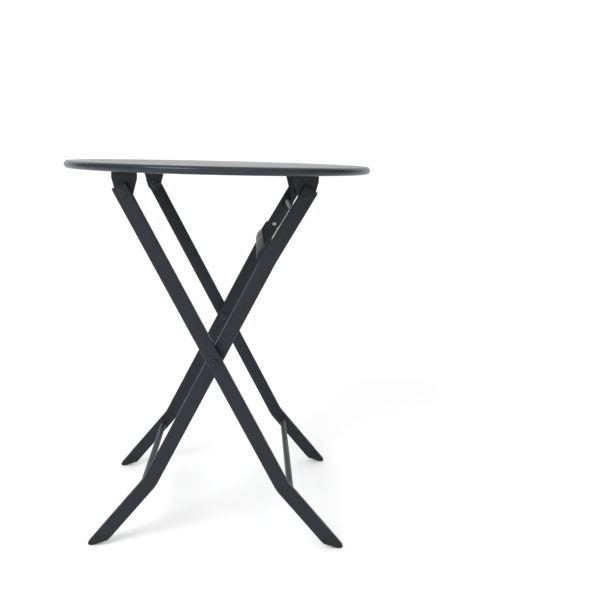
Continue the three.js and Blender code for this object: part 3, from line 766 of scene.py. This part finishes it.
# A hexagon nut: at each angle the radius is the smaller of the hexagon's, a / cos(angle to the flat),
# and the chamfer's, which shrinks towards both ends.
def addNut(node, centre, side, body):
    start, end = spanY(node)
    flat, chamfer, hole = pivot["nutAcross"] / 2, pivot["nutChamfer"], pivot["hole"]
    count = 96
    angle = np.arange(count) * 2 * np.pi / count
    hexagon = flat / np.cos((angle % (np.pi / 3)) - np.pi / 6)
    share = np.array([0, 0.5, 1.0])
    slope = chamfer * pivot["chamferSlope"] * share
    limit = np.concatenate([flat + chamfer * share, flat + chamfer * share[::-1]])
    rows = np.minimum(hexagon[None], limit[:, None])
    rows = np.concatenate([np.full((1, count), hole), rows, np.full((1, count), hole)])
    level = np.concatenate([[start], start + slope, end - slope[::-1], [end]])
    x = centre[0] + rows * np.cos(angle)
    z = centre[1] + rows * np.sin(angle)
    y = np.broadcast_to(side * level[:, None], x.shape)
    points = np.stack([x, y, z], 2).reshape(-1, 3)
    faces = gridFaces(len(level), count, closeRows=True).tolist()
    addPiece(f"{node}_hexagon", (points, faces, np.zeros(len(points))), body, "darkSteel", node, sharp=20)


for place, side in sides.items():
    domedPin(f"hinge_bolt_{place}", hinge, side, pivot["hingeHead"], "outer_frame", "paintedHead")
    domedPin(f"cross_bolt_{place}", cross, side, pivot["crossHead"], "outer_frame", "boltCoat")
    domedPin(f"support_pin_{place}", support, side, pivot["supportHead"], "inner_frame", "paintedHead")
    addNut(f"hinge_nut_{place}", hinge, side, "outer_frame")
    addNut(f"cross_nut_{place}", cross, side, "outer_frame")
    addRing(f"hinge_washer_{place}", hinge, side, "outer_frame")
    addRing(f"cross_spacer_{place}", cross, side, "outer_frame")
print("pivots")


rail = {"wall": 2 * mm, "bend": 3 * mm, "lip": 0.3 * mm, "endRound": 0.4 * mm}
ear = {"shoulder": 27 * mm, "endRadius": 14.5 * mm, "cornerRound": 1.5 * mm, "edgeRound": 0.5 * mm,
       "shoulderRound": 5 * mm, "hole": 4.3 * mm, "slotRadius": 4.5 * mm, "slotSlope": 62.9,
       "slotFlare": 12}
hook = {"inside": 6.5 * mm, "width": 7 * mm, "wrap": 110, "edgeRound": 0.5 * mm}


# A channel open below: its outline has a bend of outer radius b and inner radius b - wall at both
# upper corners.
def addRail(name):
    low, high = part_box(name)
    wall, bend, lip = rail["wall"], rail["bend"], rail["lip"]
    left, right, under = low.x + wall, high.x - wall, high.z - wall
    outline = filleted([
        (low.x, low.z), (left, low.z), (left, under), (right, under), (right, low.z), (high.x, low.z),
        (high.x, high.z), (low.x, high.z),
    ], [lip, lip, bend - wall, bend - wall, lip, lip, bend, bend])
    channel = plate([outline], low.y, high.y, rail["endRound"])
    addPiece(f"{name}_channel", channel, "tabletop", "bracketCoat", name)


# Straight sides under the rail, tapering along tangents to a round end about the pivot. The slot of
# a latched ear leaves the round end along its slope, with parallel sides that flare at the mouth.
def earOutline(centre, left, right, top, slotted):
    half = (right - left) / 2
    shoulder = np.array([half, ear["shoulder"]])
    radius = ear["endRadius"]
    slope = math.atan2(shoulder[1], shoulder[0])
    tangent = math.degrees(slope - math.acos(radius / np.linalg.norm(shoulder)))
    level = centre[1] + ear["shoulder"]
    if slotted:
        away = 180 + ear["slotSlope"]
        flared = away - ear["slotFlare"]
        mouths = [slotMouth(centre, flared, -1), slotMouth(centre, away, 1)]
        turns = [math.degrees(math.atan2(*(mouth - centre)[::-1])) % 360 for mouth in mouths]
        ending = np.concatenate([arc(centre, radius, 180 - tangent, turns[0], 24),
                                 arc(centre, ear["slotRadius"], flared - 90, away - 270, 30),
                                 arc(centre, radius, turns[1], 360 + tangent, 30)])
    else:
        ending = arc(centre, radius, 180 - tangent, 360 + tangent, 60)
    corners = np.concatenate([[(left, top), (left, level)], ending, [(right, level), (right, top)]])
    soft, shoulderRound = ear["cornerRound"], ear["shoulderRound"]
    return filleted(corners, [soft, shoulderRound] + [0] * len(ending) + [shoulderRound, soft])


# Where a slot's side, a line s off the centre along an angle, meets the round end of radius r:
# the point s * normal + sqrt(r^2 - s^2) * direction.
def slotMouth(centre, angle, hand):
    radius, slotRadius = ear["endRadius"], ear["slotRadius"]
    turn = math.radians(angle)
    way = np.array([math.cos(turn), math.sin(turn)])
    return centre + hand * slotRadius * leftOf(way) + math.sqrt(radius ** 2 - slotRadius ** 2) * way


# One ear as a plate between its node's two sides; an ear without a slot has a round hole instead.
def addEar(name, place, centre, slotted):
    low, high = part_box(f"{name}_ear_{place}")
    outline = earOutline(centre, low.x, high.x, high.z, slotted)
    loops = [outline] if slotted else [outline, circle(centre, ear["hole"])]
    shape = plate(loops, low.y, high.y, ear["edgeRound"])
    addPiece(f"{name}_ear_{place}_plate", shape, "tabletop", "bracketCoat", f"{name}_ear_{place}")


# A strap that turns in under the lock rod: two arcs about the rod and a round tip.
def addHook(place):
    node = f"catch_hook_{place}"
    low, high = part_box(node)
    inside = hook["inside"]
    outside = inside + hook["width"]
    tipRadius = hook["width"] / 2
    turn = math.radians(hook["wrap"])
    tip = lockRod + (inside + tipRadius) * np.array([math.cos(turn), -math.sin(turn)])
    outline = np.concatenate([
        [(lockRod[0] + outside, high.z), (lockRod[0] + inside, high.z)],
        arc(lockRod, inside, 0, -hook["wrap"], 40),
        arc(tip, tipRadius, 180 - hook["wrap"], 360 - hook["wrap"], 16)[1:-1],
        arc(lockRod, outside, -hook["wrap"], 0, 40),
    ])
    strap = plate([outline], low.y, high.y, hook["edgeRound"])
    addPiece(f"{node}_strap", strap, "tabletop", "bracketCoat", node)


for name in ("left_rail", "right_rail"):
    addRail(name)
for place in sides:
    addEar("left", place, hinge, False)
    addEar("right", place, support, True)
    addHook(place)
print("brackets")


lever = {"endRadius": 13.5 * mm, "gripTop": -25 * mm, "gripBottom": -50 * mm, "gripOffset": 18 * mm,
         "gripThickness": 2 * mm, "gripBulge": 3 * mm, "gripFoot": 6 * mm, "tabOver": -6 * mm,
         "tabFoot": -3 * mm, "edgeRound": 0.4 * mm, "rivetHole": 3.3 * mm, "rodHole": 4.2 * mm,
         "cornerRadii": (8 * mm, 5 * mm, 3 * mm, 2 * mm, 1.5 * mm, 1 * mm)}
rod = {"tenon": 4 * mm, "round": 0.6 * mm, "gap": 0.3 * mm, "chamfer": 0.4 * mm}
spring = {"wire": 1.2 * mm, "turns": 2, "radius": 5.6 * mm, "tail": 14 * mm, "pitch": 1.35 * mm}
rivetHead = {"radius": 5 * mm, "height": 2.5 * mm, "crown": 0.85, "shank": 3 * mm}
upLeg = unit(support - rivet)
offLeg = leftOf(upLeg)


def onLeg(over, aside):    # a place over the rivet along the inner leg, and off its centre line
    return rivet + upLeg * over + offLeg * aside


# A plate along the leg from the rod's round end down to the grip, with a tab where it widens.
def addArm(place):
    node = f"lever_arm_{place}"
    low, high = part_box(node)
    end, offset, bottom = lever["endRadius"], lever["gripOffset"], lever["gripBottom"]
    reach = float(np.linalg.norm(lockRod - rivet)) + end
    corners = [(reach, end), (reach, -end), (0, -end), (-end, -end / 3), (bottom, offset - lever["gripFoot"]),
               (bottom, offset), (lever["tabOver"], offset), (lever["tabFoot"], end)]
    nearlyRound = end * 0.999
    radii = [nearlyRound, nearlyRound, *lever["cornerRadii"]]
    outline = filleted([onLeg(*corner) for corner in corners], radii)
    loops = [outline, circle(rivet, lever["rivetHole"]), circle(lockRod, lever["rodHole"])]
    arm = plate(loops, low.y, high.y, lever["edgeRound"])
    addPiece(f"{node}_plate", arm, "lock_lever", "bracketCoat", node)


# A strip from arm to arm, bowed away from the leg by b sin(pi t).
def addGrip():
    low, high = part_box("lever_grip")
    share = np.linspace(0, 1, 25)
    over = lever["gripTop"] + (lever["gripBottom"] - lever["gripTop"]) * share
    aside = lever["gripOffset"] + lever["gripBulge"] * np.sin(np.pi * share)
    front = [onLeg(*spot) for spot in zip(over, aside)]
    back = [onLeg(*spot) for spot in zip(over, aside - lever["gripThickness"])]
    strip = plate([np.array(front + back[::-1])], low.y, high.y, lever["edgeRound"])
    # The grip wears a darker copy of the bracket coat: painted shade.
    addPiece("grip_strip", strip, "lock_lever", "gripCoat", "lever_grip")


# A round bar between the arms, its rim rounded, with a thinner tenon through each arm.
def addRod():
    reach = spanY("lock_rod")[1]
    radius, tenon, soft, chamfer = widthOf("lock_rod") / 2, rod["tenon"], rod["round"], rod["chamfer"]
    shoulder = spanY("lever_arm_far")[0] - rod["gap"]
    turn = np.linspace(0, np.pi / 2, 5)
    rim = np.stack([radius - soft * (1 - np.cos(turn)), shoulder - soft * (1 - np.sin(turn))], 1)
    half = np.concatenate([rim, [[tenon, shoulder], [tenon, reach - chamfer], [tenon - chamfer, reach]]])
    profile = np.concatenate([[[0, -reach]], half[::-1] * [1, -1], half, [[0, reach]]])
    addPiece("lock_bar", revolve(profile, lockRod), "lock_lever", "legCoat", "lock_rod")


# Head inside the lever arm: a quarter ellipse from the rim to the crown, then the shank.
def addRivet(place, side):
    node = f"lever_rivet_{place}"
    start, end = spanY(node)
    turn = np.linspace(0, np.pi / 2, 12)
    radius, high, shank = rivetHead["radius"], rivetHead["height"], rivetHead["shank"]
    dome = np.stack([radius * np.sin(turn), start + high * rivetHead["crown"] * (1 - np.cos(turn))], 1)
    profile = np.concatenate([dome, [[radius, start + high], [shank, start + high], [shank, end], [0, end]]])
    addPiece(f"{node}_dome", revolve(profile, rivet, side, 48), "inner_frame", "brightSteel", node)


# Two straight tails and a coil: (r cos a, pitch a, r sin a) over the turns, tangents before and after.
def addSpring(place, side):
    node = f"lever_spring_{place}"
    centre = middle(node)[1]
    radius, tail = spring["radius"], spring["tail"]
    coil = spring["turns"] * 2 * np.pi * radius
    before, after = np.linspace(-tail, 0, 8)[:-1], np.linspace(coil, coil + tail, 8)[1:]
    run = np.concatenate([before, np.linspace(0, coil, 97), after])
    onCoil = np.clip(run, 0, coil)
    angle, straight = onCoil / radius, run - onCoil
    lift = (onCoil / coil - 0.5) * spring["pitch"] * spring["turns"]
    path = np.stack([rivet[0] + radius * np.cos(angle) - straight * np.sin(angle), centre + side * lift,
                     rivet[1] + radius * np.sin(angle) + straight * np.cos(angle)], 1)
    addPiece(f"{node}_wire", wire(path, spring["wire"] / 2), "inner_frame", "brightSteel", node)


addGrip()
addRod()
for place, side in sides.items():
    addArm(place)
    addRivet(place, side)
    addSpring(place, side)
print("lock lever")


stage = {"floorColor": (0.95, 0.95, 0.95, 1), "floorShade": 0.985, "floorRough": 0.8, "floorSize": 16.0,
         "sweepStart": 3.0, "sweepRadius": 2.5, "wallHeight": 9.0, "drop": 0.5 * mm, "world": 1.0,
         "sideWorld": 0.15, "shadeFrom": 0.45, "shadeTo": 0.85, "keyPower": 60.0,
         "keyPlace": (-1.6, -2.2, 2.6), "keyAim": (0, 0, 0.4), "keySize": 1.8, "exposure": 0.08}
view = {"place": (0.0661, -1.4607, 0.75075), "yaw": 3.9, "pitch": 11.67, "roll": 1.47,
        "fieldOfView": 45.424}


# Floor and backdrop in one sweep: flat to a line behind the table, a quarter circle up, then a wall.
def addFloor():
    turn = np.linspace(0, np.pi / 2, 25)
    radius, back, half = stage["sweepRadius"], stage["sweepStart"], stage["floorSize"] / 2
    flat = np.linspace(-half, back, 30)[:-1]
    run = np.concatenate([flat, back + radius * np.sin(turn), [back + radius]])
    rise = np.concatenate([0 * flat, radius * (1 - np.cos(turn)), [stage["wallHeight"]]]) - stage["drop"]
    across = np.linspace(-half, half, 41)
    x, y = np.meshgrid(across, run, indexing="ij")
    points = np.stack([x, y, np.broadcast_to(rise, x.shape)], 2).reshape(-1, 3)
    faces = gridFaces(len(across), len(run), closeColumns=False).tolist()
    mesh = bpy.data.meshes.new("floor")
    mesh.from_pydata(points.tolist(), [], [face[::-1] for face in faces])
    mesh.polygons.foreach_set("use_smooth", np.ones(len(mesh.polygons), bool))
    mesh.update()
    floor = bpy.data.objects.new("floor", mesh)
    bpy.context.scene.collection.objects.link(floor)
    material, tree, shader = blank("floorPaint")
    place = tree.add("TexCoord").outputs["Object"]
    tone = tree.noise(place, 1.5, 3.0, 0.5)
    lower = tuple(c * stage["floorShade"] for c in stage["floorColor"][:3]) + (1,)
    tree.feed(shader.inputs["Base Color"], tree.blend(tone, lower, stage["floorColor"]))
    shader.inputs["Roughness"].default_value = stage["floorRough"]
    mesh.materials.append(material)


def addLight():
    light = bpy.data.lights.new("key", "AREA")
    light.shape = "DISK"
    light.size = stage["keySize"]
    light.energy = stage["keyPower"]
    lamp = bpy.data.objects.new("key", light)
    lamp.location = stage["keyPlace"]
    aim = Vector(stage["keyAim"]) - lamp.location
    lamp.rotation_euler = aim.to_track_quat("-Z", "Y").to_euler()
    bpy.context.scene.collection.objects.link(lamp)


# Even white light; only its reflections fade towards both sides, as between two darker walls.
def addWorld():
    world = bpy.data.worlds.new("studio")
    world.use_nodes = True
    background = world.node_tree.nodes["Background"]
    tree = Nodes(world.node_tree)
    direction = tree.add("SeparateXYZ", {0: tree.add("TexCoord").outputs["Object"]})
    sideways = tree.maths("ABSOLUTE", direction.outputs["X"])
    shaded = tree.span(sideways, stage["shadeFrom"], stage["shadeTo"], stage["world"], stage["sideWorld"])
    reflected = tree.add("LightPath").outputs["Is Glossy Ray"]
    even = tree.span(reflected, 0.0, 1.0, stage["world"], 0.0)
    tree.feed(background.inputs["Strength"], tree.maths("MAXIMUM", shaded, even))
    background.inputs["Color"].default_value = (1, 1, 1, 1)
    bpy.context.scene.world = world


# The camera's axes: level right and ahead turned by the yaw, then tipped by the pitch and the roll.
def addCamera():
    yaw, pitch, roll = (math.radians(view[key]) for key in ("yaw", "pitch", "roll"))
    right = Vector((math.cos(yaw), -math.sin(yaw), 0))
    ahead = Vector((math.sin(yaw), math.cos(yaw), 0))
    up = Vector((0, 0, 1))
    tilted = ahead * math.cos(pitch) - up * math.sin(pitch)
    upright = up * math.cos(pitch) + ahead * math.sin(pitch)
    turnedRight = right * math.cos(roll) + upright * math.sin(roll)
    turnedUp = upright * math.cos(roll) - right * math.sin(roll)
    lens = bpy.data.cameras.new("camera")
    lens.angle = math.radians(view["fieldOfView"])
    camera = bpy.data.objects.new("camera", lens)
    axes = Matrix((turnedRight, turnedUp, -tilted)).transposed().to_4x4()
    camera.matrix_world = Matrix.Translation(view["place"]) @ axes
    bpy.context.scene.collection.objects.link(camera)
    bpy.context.scene.camera = camera


addFloor()
addWorld()
addLight()
addCamera()
bpy.context.scene.view_settings.view_transform = "Standard"
bpy.context.scene.view_settings.exposure = stage["exposure"]
print("stage")
